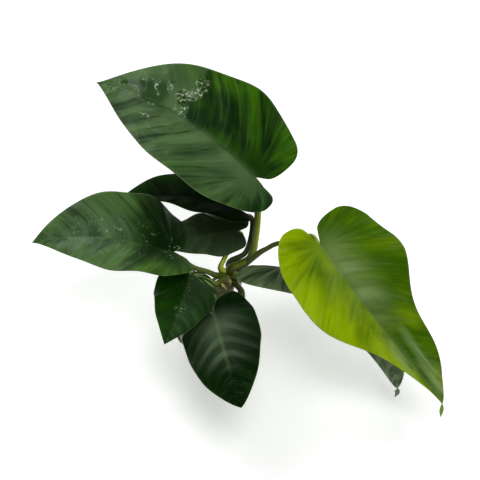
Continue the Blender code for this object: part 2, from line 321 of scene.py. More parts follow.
@dataclass
class Leaf:
    """One leaf. Pairs are (left, right), seen from above with the tip pointing away.

    Lengths are millimetres, angles degrees, and lobe and widest are shares of the length.
    """

    at: tuple  # where the petiole meets the blade, from the crown
    aim: tuple  # heading of the midrib, its climb, and the blade's roll about it
    length: float
    half: tuple
    bend: tuple  # droop towards the tip, turn to the left, and twist
    cup: tuple  # how steeply each half rises from the midrib
    curl: float  # how much of that rise is lost again at the margin
    lobe: tuple
    lobe_drop: float
    taper: tuple
    shoulder: tuple
    widest: tuple
    wave: tuple  # height of the margin's ruffle, its scallop, and waves along the length
    phase: tuple
    stalk: tuple  # petiole radius at the crown and at the blade
    route: tuple  # points that the petiole passes, from the crown
    hook: tuple = (5, 2.4)  # how far behind and below the notch the petiole turns up to it


LEAVES = {
    "top": Leaf(
        at=(9, 15.8, 34), aim=(143, 26, 10), length=69, half=(25.2, 27.8),
        bend=(46, 0, -32), cup=(17, 8), curl=10.5, lobe=(0.19, 0.098), lobe_drop=-29,
        taper=(1.17, 1.52), shoulder=(2.1, 2.3), widest=(0.165, 0.13),
        wave=(1.1, 0.01, 2.5), phase=(0.45, 0.59), stalk=(1.6, 0.9),
        route=((1.6, 2.2, 1.4), (7.7, 3.6, 5), (9.6, 8.2, 11.5), (10.4, 12.8, 19), (10.2, 15, 26.5)),
    ),
    "left": Leaf(
        at=(-19, -2.2, 15.5), aim=(178, 22.5, 8), length=49, half=(15.8, 22),
        bend=(43, -3, -34), cup=(17, 6), curl=10.5, lobe=(0.135, 0.105), lobe_drop=0,
        taper=(1.3, 1.1), shoulder=(2.05, 1.9), widest=(0.215, 0.195),
        wave=(1.0, 0, 2.5), phase=(-0.38, 0.81), stalk=(1.1, 0.8),
        route=((-3.9, -0.3, 0.2), (-6.8, -1.2, 3.2), (-11.5, -2.0, 6.6)),
    ),
    "back": Leaf(
        at=(0, 20.5, 13.5), aim=(165, 8, 12), length=42, half=(10.5, 14),
        bend=(42, 6, 2), cup=(19, 17), curl=20, lobe=(0.22, 0.22), lobe_drop=6,
        taper=(1.15, 0.93), shoulder=(1.45, 1.95), widest=(0.14, 0.18),
        wave=(0.7, 0, 2.5), phase=(0, 0.5), stalk=(1.1, 0.8),
        route=((0.7, 5.2, 1.0), (6.0, 6.2, 4.7), (8.2, 10.6, 9.4), (8.2, 16.4, 11.6)),
    ),
    "middle": Leaf(
        at=(3, 12.8, 8.3), aim=(192, 3, 0), length=30, half=(9.3, 10.8),
        bend=(24, 0, -7), cup=(11, 11), curl=29, lobe=(0.08, 0.18), lobe_drop=10,
        taper=(1.6, 0.42), shoulder=(2.05, 2.6), widest=(0.134, 0.156),
        wave=(0.9, 0.01, 2.5), phase=(0.12, 0.27), stalk=(1.05, 0.75),
        route=((-2.6, 2.2, 0.9), (-1.6, 4.2, 3), (0.6, 7.4, 5.2)), hook=(1.6, 3.4),
    ),
    "lower_left": Leaf(
        at=(-12.8, -6.3, 8), aim=(-98, 14, -10), length=33, half=(11.1, 11.3),
        bend=(24, -9, -1), cup=(1, -2), curl=29, lobe=(0.125, 0.075), lobe_drop=20,
        taper=(1.0, 1.0), shoulder=(1.9, 1.9), widest=(0.18, 0.155),
        wave=(1.5, 0, 2.5), phase=(-0.16, 0.05), stalk=(1.05, 0.75),
        route=((-4.1, -3.6, -0.4), (-7, -3.4, 1.6), (-10.6, -3.2, 3.8)),
    ),
    "front": Leaf(
        at=(-4.6, -21.7, 6), aim=(-78, 5, 13), length=37, half=(13.9, 13.8),
        bend=(28.5, 0, -5), cup=(9, -7), curl=23.5, lobe=(0.21, 0.03), lobe_drop=15,
        taper=(0.8, 0.85), shoulder=(1.8, 2.4), widest=(0.225, 0.125),
        wave=(1.5, 0, 2.5), phase=(-0.07, -0.02), stalk=(1.1, 0.75),
        route=((3.4, -4.4, -0.6), (5, -8.6, 0.8), (3.8, -14, 1.4)),
    ),
    "right": Leaf(
        at=(31.4, -6.8, 24), aim=(-50, -27, 8.5), length=67.5, half=(21.3, 21.2),
        bend=(16, 9, 14.5), cup=(40, 30), curl=25, lobe=(0.13, 0.165), lobe_drop=-14,
        taper=(0.7, 1.95), shoulder=(1.2, 1.45), widest=(0.17, 0.19),
        wave=(1.7, 0.09, 1.85), phase=(0.79, 0.54), stalk=(1.0, 0.75),
        route=((10.5, 2.9, 8.2), (13.2, 2.4, 11.4), (17.2, 1.2, 15.8), (23.4, -2.2, 20.2)),
    ),
    "under": Leaf(
        at=(18.6, -4.7, 10), aim=(-8, -14, -7.5), length=60.5, half=(11, 13.3),
        bend=(42, -56, -1), cup=(15, 12.5), curl=16, lobe=(0.02, 0.25), lobe_drop=30,
        taper=(0.6, 0.7), shoulder=(1.95, 1.9), widest=(0.2, 0.165),
        wave=(1.6, 0, 1.2), phase=(0.03, 0), stalk=(0.95, 0.55),
        route=((2.8, -1.5, 0.9), (6, 0.1, 2.8), (9, -0.6, 5.2), (12.4, -3.0, 5.7)),
    ),
}
print("leaves:", ", ".join(f"{name} {leaf.length:g} mm" for name, leaf in LEAVES.items()))


# %% [markdown]
# The formula runs in three steps. The midrib is bent in space, the flat outline is drawn in shares of
# the length, and each half of the blade is hung between the two.


# %% The formula of a blade
def leaf_axes(leaf):
    """Midrib direction, left-hand direction and upper normal where the petiole joins."""
    heading, climb, roll = np.radians(leaf.aim)
    along = np.array([np.cos(climb) * np.cos(heading), np.cos(climb) * np.sin(heading), np.sin(climb)])
    level = np.array([-np.sin(heading), np.cos(heading), 0])
    above = np.cross(along, level)
    left = np.cos(roll) * level + np.sin(roll) * above
    return along, left, np.cross(along, left)


def midrib(leaf, share):
    """Place, left and normal of the bent midrib at shares of its length; below 0 is between the lobes.

    The midrib bows down by droop times share to the power 1.4, turns left and twists in
    proportion to the share, and its place is the running sum of its direction. Behind the
    notch its slope changes by lobe_drop over the longer lobe, which lowers the lobes if positive.
    """
    along, left, normal = leaf_axes(leaf)
    grid = np.linspace(-0.5, 1, 301)
    ahead = np.clip(grid, 0, None)
    droop, turn, twist = np.radians(leaf.bend)
    back = radians(leaf.lobe_drop) * grid / max(leaf.lobe)
    bow = np.where(grid >= 0, droop * ahead**1.4, back)[:, None]
    turned = (turn * ahead)[:, None]
    twisted = (twist * ahead)[:, None]
    forward = np.cos(bow) * (np.cos(turned) * along + np.sin(turned) * left) - np.sin(bow) * normal
    side = np.cos(turned) * left - np.sin(turned) * along
    up = np.cross(forward, side)
    side, up = np.cos(twisted) * side + np.sin(twisted) * up, np.cos(twisted) * up - np.sin(twisted) * side
    steps = (forward[1:] + forward[:-1]) / 2 * np.diff(grid)[:, None] * leaf.length
    place = np.vstack([np.zeros(3), np.cumsum(steps, 0)])

    def read(values):
        return np.stack([np.interp(share, grid, values[:, k]) for k in range(3)], -1)

    start = np.array([np.interp(0, grid, place[:, k]) for k in range(3)])
    return CROWN + np.array(leaf.at) + read(place) - start, read(side), read(up)


def margin(leaf, s, hand):
    """The flat outline of one half, in shares of the length: s runs from the notch (0) to the tip (1).

    Two quarter ellipses round the lobe and reach the widest place, then the half width falls
    as (1 - q ** shoulder) ** taper to the tip.
    """
    half, lobe, widest = leaf.half[hand] / leaf.length, leaf.lobe[hand], leaf.widest[hand]
    notch, lobe_side, inner = 0.10 * half, 0.52 * half, 0.45 * lobe
    turn = np.clip(s / LOBE_ARC, 0, 1) * pi / 2
    sweep = pi / 2 * (1 - np.clip((s - LOBE_ARC) / (SIDE_ARC - LOBE_ARC), 0, 1))
    q = np.clip((s - SIDE_ARC) / (1 - SIDE_ARC), 0, 1)
    front = half * (1 - q ** leaf.shoulder[hand]) ** leaf.taper[hand]
    x = np.where(s < SIDE_ARC, widest - (widest + lobe) * np.sin(sweep), widest + (1 - widest) * q)
    x = np.where(s < LOBE_ARC, -lobe + inner * (1 - np.sin(turn)), x)
    y = np.where(s < SIDE_ARC, lobe_side + (half - lobe_side) * np.cos(sweep), front)
    y = np.where(s < LOBE_ARC, notch + (lobe_side - notch) * (1 - np.cos(turn)), y)
    return x, y


def vein_rows(leaf, hand, fine):
    """Where each row ends on the margin and leaves the midrib, with `fine` rows from vein to vein."""
    s = np.linspace(0, 1, 2400)
    x, y = margin(leaf, s, hand)
    root = x - VEIN_SLANT * y
    behind = s[root < 0][-1]
    ahead = s > behind
    start = np.sin(np.linspace(0, pi / 2, BODY_VEINS * fine + 1)) ** 1.1
    body = np.interp(start, np.maximum.accumulate(root[ahead]), s[ahead])
    lobe = np.linspace(0, behind, LOBE_VEINS * fine, endpoint=False)
    return np.concatenate([lobe, body]), np.concatenate([np.zeros(len(lobe)), start])


FINE = 14  # grid rows from one side vein to the next
ACROSS = 44  # grid cells from the midrib to the margin
PLEAT = 0.16  # how far the blade swells between two side veins
GROOVE = 0.12  # depth of the channel over the midrib
VEIN_HEIGHT = 0.12  # how far a side vein stands out below
RIDGE = 1.25  # how far the midrib stands out below, as a multiple of the petiole's radius
EDGE = 0.26  # half of the blade's own thickness


def half_blade(leaf, hand):
    """Upper and lower skin of one half on a grid of rows along the veins, t from midrib to margin.

    The cupped section is the running turn of a slope that falls from cup to cup - curl. The blade
    swells between veins as a cosine, and thins as the square root of 1 - t ** 6 to its edge.
    """
    s, start = vein_rows(leaf, hand, FINE)
    vein = np.linspace(0, VEINS, len(s))[:, None]
    even = np.linspace(0, 1, ACROSS + 1)
    t = (0.6 * even + 0.4 * (1 - np.cos(pi * even)) / 2)[None, :]
    edge_x, edge_y = margin(leaf, s, hand)
    ease = 1 + 0.5 * np.clip((s - 0.3) / 0.3, 0, 1)[:, None]
    x = start[:, None] + (edge_x - start)[:, None] * t**ease
    y = edge_y[:, None] * t
    ruffle, scallop, waves = leaf.wave
    wave = np.sin(2 * pi * (waves * x + leaf.phase[hand]))
    y = y * (1 + scallop * wave * np.clip(4 * x, 0, 1) * np.clip(6 * (1 - x), 0, 1))
    share = y * leaf.length / leaf.half[hand]
    cup, curl = radians(leaf.cup[hand]), radians(leaf.curl)
    out = (np.sin(cup) - np.sin(cup - curl * share)) / curl * leaf.half[hand]
    rise = (np.cos(cup - curl * share) - np.cos(cup)) / curl * leaf.half[hand]
    rise = rise + ruffle * share**2 * wave
    off = np.hypot(np.minimum(x, 0), y) * leaf.length
    reach = np.hypot(x, y) * leaf.length
    room = np.clip(off / 5, 0, 1) * np.clip((1 - t) * 5, 0, 1) * np.clip((1 - x) * 4, 0, 1)
    room = room * np.clip((reach - 3) / 11, 0, 1)
    channel = GROOVE * np.exp(-((off / 0.9) ** 2)) * np.clip(1 - x, 0, 1)
    swell = PLEAT * (1 - np.cos(2 * pi * vein)) * room - channel
    place, left, up = midrib(leaf, x)
    sign = 1 if hand == 0 else -1
    middle = place + sign * out[..., None] * left + (rise + swell)[..., None] * up
    notch = np.clip(vein / 0.4, 0, 1)
    closing = 1 - (1 - np.sqrt(1 - (1 - notch) ** 2)) * np.clip(t / 0.05, 0, 1)
    closing = closing * np.sqrt(np.clip((VEINS - vein) / 0.6, 0, 1))
    closing[[0, -1]] = 0
    round_edge = np.sqrt(np.clip(1 - t**6, 0, 1))
    thin = EDGE * round_edge * closing
    strut = RIDGE * leaf.stalk[1] * np.exp(-((off / 1.1) ** 2)) * np.clip(1 - x, 0, 1) ** 0.8
    vein_line = np.exp(-((np.sin(pi * vein) / 0.16) ** 2)) * room
    below = thin + (strut + VEIN_HEIGHT * vein_line) * closing * round_edge
    mark = np.stack(np.broadcast_arrays(0.5 - 0.5 * sign * t, vein / VEINS), -1)
    extra = {"off": off, "along": x, "reach": reach}
    upper = middle + thin[..., None] * up
    lower = middle - below[..., None] * up
    return (upper, mark, extra, hand == 0, 0), (lower, mark, extra, hand == 1, 1)


print("side veins on each half:", VEINS, "- grid", VEINS * FINE, "x", ACROSS)

# %% [markdown]
# ## The leaves' finish
#
# A flat green looks like plastic. A real blade is darker at depth and fresher towards its margin, its
# side veins and midrib are paler, the tissue between them is streaked along the veins, and a wet
# film lies over it in patches. One record per leaf says how much of each it has. A broad sheen is
# painted as colour, so it stays in place when the light moves, which a real sheen does not. Painted
# highlights, painted glints and painted shade are laid on in the same way, and some leaves' greens
# are painted darker or lighter for the shade they lie in.


# %% One look per leaf
@dataclass
class Look:
    """Colours of one blade: deep tissue, fresh tissue, and a grey-green painted sheen.

    Pairs are (left, right) again, and a number without a unit is a strength from 0 to 1.
    """

    deep: tuple
    fresh: tuple
    painted_sheen: tuple
    # How fresh each half is; on the right leaf the difference between the halves is painted light.
    fresh_and_lit_side: tuple
    painted_sheen_side: tuple
    painted_sheen_span: tuple = (0.0, 1.0)  # stretch of the length where the painted sheen lies
    painted_sheen_reach: float = 99.0  # millimetres from the midrib where the painted sheen has faded
    bands: float = 0.5  # contrast of the broad bands along the veins, whose dark side is painted shade
    ribbing: float = 0.0  # how far the painted sheen keeps to the side veins, a painted highlight on their ridges
    mottle: float = 0.9  # contrast of the large cloudy patches
    arcs: float = 0.4  # fine dark lines along the veins, with fine lines of painted sheen beside them
    calm: float = 16.0  # millimetres from the notch where bands and veins reach full strength
    vein: float = 0.05
    rib: float = 0.05
    gloss: float = 0.1  # the mirror part of the dry surface
    wet: float = 0.0  # cover of the water film
    pools: float = 0.0  # pools in the film, whose rims carry painted glints
    highlight_flecks: float = 0.0
    highlight_fleck_reach: float = 10.0  # millimetres from the midrib that the painted highlight flecks reach
    streaks: float = 0.0
    shaded_lobe: float = 0.0  # painted shade: how far the right lobe falls back to the deep colour
    pale_tip: float = 0.0  # painted sheen that comes back in bands towards the tip


LOOKS = {
    "top": Look(
        paint(10, 40, 0), paint(66, 114, 0), paint(86, 112, 70), (0.2, 0.48), (0.88, 0.0),
        bands=0.9, arcs=0.6, ribbing=0.35, rib=0.0, vein=0.01, gloss=0.08, wet=0.1, pools=1.0,
    ),
    "left": Look(
        paint(10, 34, 5), paint(76, 112, 46), paint(96, 124, 84), (0.55, 0.5), (0.55, 0.5), (0.35, 0.9),
        bands=0.55, ribbing=0.3, rib=0.01, vein=0.02, gloss=0.08, wet=0.1, highlight_flecks=0.9,
        highlight_fleck_reach=11.0, shaded_lobe=0.8,
    ),
    # The back leaf lies under the top leaf: its near-black greens are painted shade.
    "back": Look(
        paint(6, 26, 1), paint(34, 66, 6), paint(40, 62, 34), (0.35, 0.35), (0.0, 0.0),
        bands=0.5, rib=0.0, vein=0.02, gloss=0.02,
    ),
    # Painted light: the middle leaf's greens are lighter to make up for the shade of the leaves above it.
    "middle": Look(
        paint(30, 50, 24), paint(74, 94, 62), paint(84, 102, 76), (0.5, 0.4), (0.5, 0.3),
        bands=0.4, ribbing=0.3, rib=0.06, vein=0.02, gloss=0.05,
    ),
    "lower_left": Look(
        paint(20, 48, 2), paint(34, 74, 10), paint(64, 80, 58), (0.4, 0.5), (0.6, 0.0),
        bands=0.6, ribbing=0.5, rib=0.03, vein=0.03, gloss=0.04, highlight_flecks=1.0, highlight_fleck_reach=2.6, streaks=1.0,
    ),
    "front": Look(
        paint(10, 30, 5), paint(26, 54, 16), paint(84, 102, 78), (0.25, 0.25), (0.8, 0.8), (0.1, 0.5),
        painted_sheen_reach=16.0, bands=0.6, arcs=0.25, ribbing=0.7, rib=0.12, vein=0.05, gloss=0.03,
    ),
    # The right leaf: its brighter right half is painted light, and the sheen on its left half is painted too.
    "right": Look(
        paint(60, 96, 0), paint(150, 180, 0), paint(150, 172, 110), (0.16, 0.9), (0.75, 0.15), (0.06, 0.4),
        painted_sheen_reach=14.0, bands=0.55, mottle=0.35, arcs=0.3, ribbing=0.45, calm=11.0, rib=0.1, vein=0.03,
        gloss=0.03, wet=0.05, pale_tip=0.7,
    ),
    # Painted light: the under leaf's greens are lighter to make up for the shade of the right leaf above it.
    "under": Look(
        paint(42, 62, 34), paint(104, 126, 86), paint(150, 166, 138), (0.4, 0.4), (0.85, 0.85),
        bands=0.9, ribbing=0.7, calm=5.0, rib=0.2, vein=0.25, gloss=0.1, pale_tip=0.7,
    ),
}
PALE = paint(150, 170, 110)
# A pale grey-green for painted glints.
PAINTED_GLINT = paint(196, 208, 182)
print("looks:", ", ".join(LOOKS))

# %% [markdown]
# The grid's rows are the veins, so two texture numbers say where each point lies. Three noises are
# stretched along the veins, from broad bands to fine fibres, and everything else is built on them.


# %% Where a point lies on a blade
def side_value(right, pair):
    """A number that is pair[0] on the left half and pair[1] on the right half."""
    return right * (pair[1] - pair[0]) + pair[0]


def blade_numbers(name, start, look):
    """Shader values of one blade: shares across and along, millimetres from the midrib, and noises."""
    u, v = grid_numbers(start)
    across = absolute(u * 2 - 1)
    right = smooth(u, 0.49, 0.51)
    vein = v * VEINS
    seed = right * 9 + sum(map(ord, name))
    place = object_place(start)
    return SimpleNamespace(
        v=v, across=across, right=right, vein=vein, place=place,
        half=smooth(u, 0.455, 0.545),  # the same side, with a soft change at the midrib
        edge=smooth(across, 0.25, 1.0),
        line=cosine(vein * (2 * pi)),  # 1 on a side vein, -1 between two
        along=attribute(start, "along"),
        off=attribute(start, "off"),
        clear=smooth(attribute(start, "reach"), look.calm * 0.2, look.calm),
        cloud=noise(place, 55, 2),
        band=noise(joined(across * 1.1, vein * 1.1, seed), 1.0, 2, 0.45, 0.4),
        streak=noise(joined(across * 1.8, vein * 3.2, seed), 1.0, 3, 0.55, 0.3),
        fibre=noise(joined(across * 1.5, vein * 7.0, seed), 1.0, 3, 0.5),
    )


# %% [markdown]
# Colour goes on in layers, as a painter would lay it: tissue, painted sheen, dark bands of painted shade,
# dark arcs, veins, and then the marks that only some leaves have. Each layer is one `blend` over the last.


# %% Layers of a leaf's colour
def tissue(at, look):
    """Fresh over deep green, the painted sheen over both, then dark bands of painted shade, fine dark arcs
    along the veins and fine lines of painted sheen.
    """
    light = (at.band - 0.5) * 1.6 + (at.streak - 0.5) * 0.7
    banded = light * look.bands * at.clear
    # How fresh each half is; on the right leaf this difference is painted light.
    fresh = side_value(at.half, look.fresh_and_lit_side) * (at.edge * 0.5 + 0.55)
    fresh = fresh + (at.cloud - 0.5) * look.mottle + banded
    colour = blend(smooth(fresh, 0.0, 1.0), look.deep, look.fresh)
    # Painted sheen: a broad grey-green sheen laid on as colour, on one half more than the other.
    low, high = look.painted_sheen_span
    span = smooth(at.along, low - 0.2, low + 0.1) * (1 - smooth(at.along, high - 0.1, high + 0.2))
    near = smooth(at.off + light * 5.0, look.painted_sheen_reach, look.painted_sheen_reach * 0.1)
    ribbing = 1 - (1 - smooth(at.line, -0.4, 0.9)) * at.clear * look.ribbing
    painted_sheen = side_value(at.half, look.painted_sheen_side) * span * near * (1 - at.edge * 0.35) * ribbing
    painted_sheen = painted_sheen * (1 + banded)
    colour = blend(painted_sheen.math("MINIMUM", painted_sheen, 1.0), colour, look.painted_sheen)
    # Painted shade: the broad bands darken back towards the deep green between the sheen.
    colour = blend(smooth(at.band, 0.50, 0.30) * at.clear * look.bands * 0.6, colour, look.deep)
    arc = smooth(at.fibre, 0.47, 0.36) * smooth(at.streak, 0.62, 0.44) * smooth(at.across, 0.04, 0.3)
    colour = blend(arc * at.clear * look.arcs, colour, look.deep)
    # Painted sheen in fine lines along the fibres.
    return blend(smooth(at.fibre, 0.52, 0.68) * at.clear * look.arcs * 0.35, colour, look.painted_sheen)


def veins(at, look, colour):
    """Paler side veins, midrib and rim."""
    side_vein = smooth(at.line, 0.78, 1.0) * smooth(at.streak, 0.4, 0.62) * (1 - at.edge * 0.8)
    rib = smooth(at.off, 1.1, 0.2) * smooth(at.along, 0.75, 0.45)
    rim = smooth(at.across, 0.972, 0.995)
    return blend(side_vein * at.clear * look.vein + rib * look.rib + rim * 0.2, colour, PALE)


def marks(at, look, colour):
    """What only some leaves have: a lobe darkened by painted shade, a tip with bands of painted sheen,
    painted highlight streaks beside the notch, and scattered flecks of painted highlight.
    """
    # Painted shade: the right lobe lies under the top leaf and falls back to the deep colour.
    if look.shaded_lobe:
        lobe = at.right * smooth(at.along, 0.30, 0.08) * (0.7 + at.streak * 0.6)
        colour = blend(lobe * look.shaded_lobe, colour, look.deep)
    # Painted sheen in pale stripes towards the tip.
    if look.pale_tip:
        stripe = noise(joined(at.off * 0.38, at.along * 2.5, at.right * 5.0), 1.0, 3, 0.5, 0.5)
        stripe = smooth(stripe, 0.34, 0.68) * smooth(at.along, 0.45, 0.75) * smooth(at.off, 9.0, 5.0)
        colour = blend(stripe * look.pale_tip, colour, look.painted_sheen)
    # Painted highlight: two pale streaks on the lobe beside the notch.
    if look.streaks:
        dash = smooth(noise(joined(at.across * 2.0, at.vein * 1.1, 4.0), 1.0, 0), 0.50, 0.60)
        lobe = smooth(at.v, 0.40, 0.32) * smooth(at.v, 0.05, 0.12) * smooth(at.across, 0.08, 0.2)
        colour = blend(dash * (1 - at.right) * lobe * look.streaks * 0.65, colour, paint(156, 178, 104))
    # Painted highlight: scattered pale flecks near the midrib.
    if look.highlight_flecks:
        rare = smooth(noise(at.place, 200, 2), 0.46, 0.62)
        highlight_fleck = smooth(noise(at.place, 850, 2, 0.6, 0.8), 0.57, 0.66) * rare
        highlight_fleck = highlight_fleck * smooth(at.off, look.highlight_fleck_reach, look.highlight_fleck_reach * 0.4)
        highlight_fleck = highlight_fleck * smooth(at.along, 0.85, 0.55)
        colour = blend(highlight_fleck * look.highlight_flecks * 0.6, colour, paint(150, 182, 138))
    return colour


# %% [markdown]
# Water lies on the top leaf: its right half is flooded towards the tip, and a painted sheen lies over that
# stretch. A few pools in it go back to dark green, and their rims and the shore carry painted glints. The
# film itself is a coat on the shader, so its own gloss comes from the lights.


# %% The upper skin
def flood(at, look, colour):
    """The flooded stretch, its shore and the pools: colour with painted sheen and painted glints, cover of
    the film, and height.
    """
    shore_line = at.along + (noise(at.place, 75, 3, 0.6) - 0.5) * 0.35
    flooded = smooth(shore_line, 0.52, 0.545) * at.right
    # Painted sheen over the flooded stretch.
    colour = blend(flooded * (1 - at.edge * 0.5) * 0.75, colour, look.painted_sheen)
    shape = noise(at.place, 85, 2, 0.55, 1.2)
    zone = smooth(at.along, 0.56, 0.62) * smooth(at.along, 0.94, 0.86) * smooth(at.across, 0.75, 0.5)
    pool = smooth(shape, 0.54, 0.555) * zone * look.pools
    # The pools break the painted sheen and go back to dark green.
    colour = blend(pool * 0.8, colour, paint(26, 58, 6))
    brim = smooth(shape, 0.52, 0.54) * smooth(shape, 0.58, 0.55) * zone
    shore = smooth(shore_line, 0.50, 0.515) * smooth(shore_line, 0.55, 0.53)
    shore = shore * at.right * smooth(at.across, 0.9, 0.7)
    # Painted glints on the pool rims and along the shore.
    glint_mask = smooth(noise(at.place, 1000, 3, 0.7), 0.49, 0.60) * (brim + shore)
    return blend(glint_mask * 0.6, colour, PAINTED_GLINT), flooded * 0.08 + pool * 0.1, (pool + flooded) * 1.5


def leaf_finish(name, look):
    """The layers of colour, painted sheen and painted shade among them, with a satin surface, a wet film and
    relief along the veins.
    """
    start, fill = finish(f"leaf {name}", {"Specular IOR Level": look.gloss, "Coat Roughness": 0.08})
    at = blade_numbers(name, start, look)
    colour = marks(at, look, veins(at, look, tissue(at, look)))
    height = at.streak * 0.5 + at.fibre * 0.15 + noise(at.place, 1500, 2) * 0.08
    rough, film = 0.42 + at.cloud * 0.16, None
    if look.wet:
        film = smooth(noise(at.place, 95, 2, 0.5, 1.2), 0.50, 0.54) * look.wet
        rough = rough - film * 0.2
    if look.pools:
        colour, cover, level = flood(at, look, colour)
        film, height = film + cover, height + level
    return fill(colour, rough, height, 0.12 * MM, film)


# %% [markdown]
# The underside is duller and paler than the top, and its midrib and side veins stand out.


# %% The lower skin
def underside_finish(name, look):
    """Patches of a paler green, with raised veins that are paler still."""
    start, fill = finish(f"underside {name}", {"IOR": 1.45, "Coat Weight": 0.05})
    u, v = grid_numbers(start)
    vein = v * VEINS
    off = attribute(start, "off")
    place = object_place(start)
    cloud = noise(place, 120, 4)
    fibre = noise(joined(absolute(u * 2 - 1) * 3.0, vein * 9.0, u * 4), 1.0, 3, 0.6)
    light = tuple(0.6 * a + 0.4 * b for a, b in zip(look.fresh, paint(140, 160, 110)))
    colour = blend(smooth(cloud + fibre * 0.4, 0.35, 0.95), look.fresh, light)
    line = cosine(vein * (2 * pi))
    pale = smooth(line, 0.85, 1.0) * 0.3 + smooth(off, 1.6, 0.5) * 0.55
    colour = blend(pale, colour, paint(165, 178, 120))
    height = fibre * 0.4 + smooth(line, 0.6, 1.0) * 0.5 + noise(place, 1400, 2) * 0.1
    return fill(colour, 0.5 + cloud * 0.14, height, 0.12 * MM)


# %% [markdown]
# ## Drip tips
#
# Two of the leaves end in a small spindle that leads water off the blade. It is a short tube whose
# radius is a narrow neck and then a lens, and it hangs straight down from the tip.

# %% Blades
NECK = 0.34
NECK_SHARE = 0.18
TIP_VALUES = {"off": 3.0, "along": 1.0, "reach": 60.0}
DRIP_TIPS = {  # points of its path from the leaf's tip, and its width
    "right": (((0, 0, 1.0), (0.1, -0.1, -1.2), (0.2, -0.3, -4.0), (0.2, -0.4, -7.4)), 0.85),
    "under": (((0, 0, 0.8), (0.2, -0.1, -1.0), (0.1, -0.3, -2.6), (-0.5, -0.4, -5.0)), 1.05),
}


def drip_tip(leaf, route, width):
    """A spindle from the tip: width * (neck + (1 - neck) * sin(pi * q) ** 1.2) * (1 - 0.6 * share ** 4).

    The share q is 0 along the neck, which is the first NECK_SHARE of the length, and then runs to 1.
    """
    tip, _, _ = midrib(leaf, np.array(1.0))
    path = smooth_path(route, 26) + tip
    share = np.linspace(0, 1, len(path))
    q = np.clip((share - NECK_SHARE) / (1 - NECK_SHARE), 0, 1)
    radius = width * (NECK + (1 - NECK) * np.sin(pi * q) ** 1.2) * (1 - 0.6 * share**4)
    place, mark, _, turned, kind = tube(path, radius, 16, 0.6)
    extra = {key: np.full(place.shape[:2], value) for key, value in TIP_VALUES.items()}
    mark = np.stack([0.5 + 0.1 * mark[..., 0], np.full(place.shape[:2], 0.97)], -1)
    return place, mark, extra, turned, kind


for name, leaf in LEAVES.items():
    sheets = [*half_blade(leaf, 0), *half_blade(leaf, 1)]
    if name in DRIP_TIPS:
        sheets.append(drip_tip(leaf, *DRIP_TIPS[name]))
    finishes = [leaf_finish(name, LOOKS[name]), underside_finish(name, LOOKS[name])]
    skin(f"leaf_{name}", sheets, finishes, f"blade_{name}")

# %% [markdown]
# ## Petioles
#
# A petiole could be a curve with a bevel. A tube worked out point by point also gives it a channel along one
# flank, a wide sheath where it clasps the crown, and an end that sinks into the midrib.


# %% Petioles
def petiole_finish(name, lit_colour, sheath):
    """Painted light and shade: bright where it faces up and +X, a dark shaded copy elsewhere, and olive brown
    up to the sheath's share.
    """
    start, fill = finish(f"petiole {name}", {"Specular IOR Level": 0.3, "Coat Roughness": 0.12})
    u, v = grid_numbers(start)
    place = object_place(start)
    angle = u * (2 * pi)
    ring = joined(cosine(angle) * 2.2, v * 1.2, angle.math("SINE", angle) * 2.2)
    fibre = noise(ring, 2.0, 4, 0.6)
    patch = noise(place, 220, 3)
    # Painted light and shade: the side that faces up and +X takes the lit colour, the rest a shaded copy at a
    # fifth of it.
    facing = start.node("NewGeometry", out="Normal")
    lean = part_of(facing, 0) * 0.8 + part_of(facing, 2) * 0.7
    top = smooth(lean + (fibre - 0.5) * 1.2, 0.05, 0.65)
    dark = (*[0.2 * part for part in lit_colour[:3]], 1.0)
    colour = blend(top, dark, lit_colour)
    base = smooth(v + (patch - 0.5) * 0.3, sheath, sheath * 0.4)
    colour = blend(base * (1 - top * 0.4) * 0.9, colour, paint(58, 68, 6))
    node = smooth(v, 0.86, 0.93)
    colour = blend(node * 0.4, colour, paint(140, 156, 84))
    speck = smooth(noise(place, 1400, 2), 0.62, 0.72)
    colour = blend(speck * 0.35, colour, paint(34, 34, 14))
    return fill(colour, 0.34 + patch * 0.2, fibre * 0.6 + patch * 0.3, 0.15 * MM, 0.3)


STALK_LOOKS = {  # the colour of its painted lit side, and the share of its length that the sheath covers
    "top": (paint(150, 172, 36), 0.36),
    "left": (paint(100, 114, 44), 0.3),
    "back": (paint(50, 52, 18), 0.5),
    "middle": (paint(200, 212, 70), 0.12),
    "lower_left": (paint(120, 134, 60), 0.2),
    "front": (paint(84, 94, 40), 0.3),
    "right": (paint(144, 162, 40), 0.16),
    "under": (paint(158, 170, 70), 0.12),
}
CROWN_HEART = np.array([0.8, 2.2, -2.8])  # middle of the growing end, from the crown
STALK_SIDES = 28


def petiole(name, leaf):
    """The tube follows the petiole's route, starts inside the crown and ends inside the midrib.

    Its radius falls from the crown's to the blade's as (1 - share) ** 1.3. It is swollen at the sheath
    and at the joint under the blade, and a channel of a tenth of the radius runs along one flank.
    """
    along, _, up = leaf_axes(leaf)
    at = np.array(leaf.at)
    base, end = leaf.stalk
    root = np.array(leaf.route[0])
    inside = root + 0.75 * (CROWN_HEART - root)
    under = at - leaf.hook[0] * along - leaf.hook[1] * up
    joint = at - 1.0 * along - (0.9 * end + EDGE) * up
    buried = at + 4.5 * along - (0.25 * end + EDGE) * up
    path = smooth_path([inside, *leaf.route, under, joint, buried], 110) + CROWN
    share = np.linspace(0, 1, len(path))
    core = end + (base - end) * (1 - share) ** 1.3
    core = core * (1 + 0.30 * np.exp(-((share / 0.16) ** 2)))
    core = core * (1 + 0.14 * np.exp(-(((share - 0.80) / 0.05) ** 2)))
    core = core * (1 - 0.45 * np.clip((share - 0.86) / 0.14, 0, 1))
    angle = np.linspace(0, 2 * pi, STALK_SIDES + 1)
    channel = 1 - 0.10 * np.exp(-(((angle - pi / 2) / 0.5) ** 2)) * np.clip(share * 4, 0, 1)[:, None]
    return tube(path, core[:, None] * channel, STALK_SIDES, 0.94)


